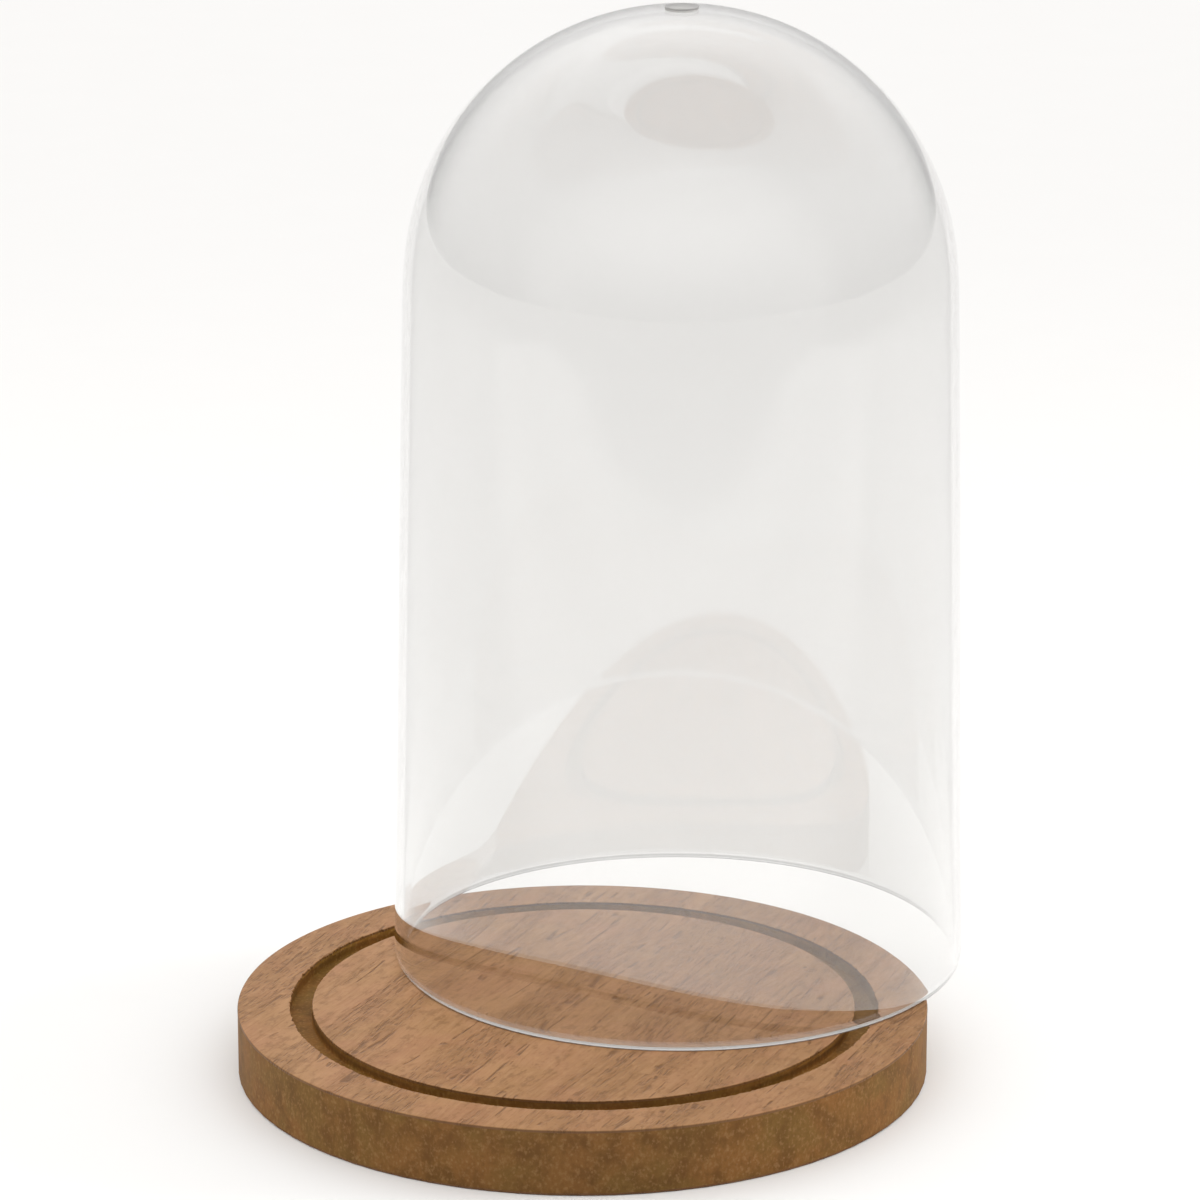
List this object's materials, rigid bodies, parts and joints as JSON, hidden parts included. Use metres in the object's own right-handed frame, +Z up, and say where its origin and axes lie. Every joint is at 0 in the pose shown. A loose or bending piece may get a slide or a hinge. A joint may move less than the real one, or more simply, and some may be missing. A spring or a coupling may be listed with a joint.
{
  "type": "bell jar dome",
  "caption": "Clear round-topped display dome standing lifted off a round wooden base whose top has a circular groove to seat the dome's rim.",
  "frame": {"origin": "centre of the wooden base's underside", "axes": "+Z up, out of the base's top face; +X and +Y across the base, with the dome set towards +X and +Y"},
  "size_m": [0.1648, 0.1758, 0.2353],
  "materials": {
    "clear_plastic": "clear, polished",
    "fibre_board": "stained fibre board, sanded",
    "face_veneer": "open-pored veneer, satin",
    "back_veneer": "open-pored veneer, unpolished"
  },
  "bodies": {
    "base": {"base_core": "fibre_board", "face_veneer_ring": "face_veneer", "face_veneer_disc": "face_veneer", "back_veneer": "back_veneer"},
    "dome": {"dome": "clear_plastic"}
  },
  "joints": [
    {"name": "dome_lift", "type": "slide", "parent": "base", "child": "dome", "axis": [0, 0, 1], "range_m": [0, 0.24]}
  ]
}
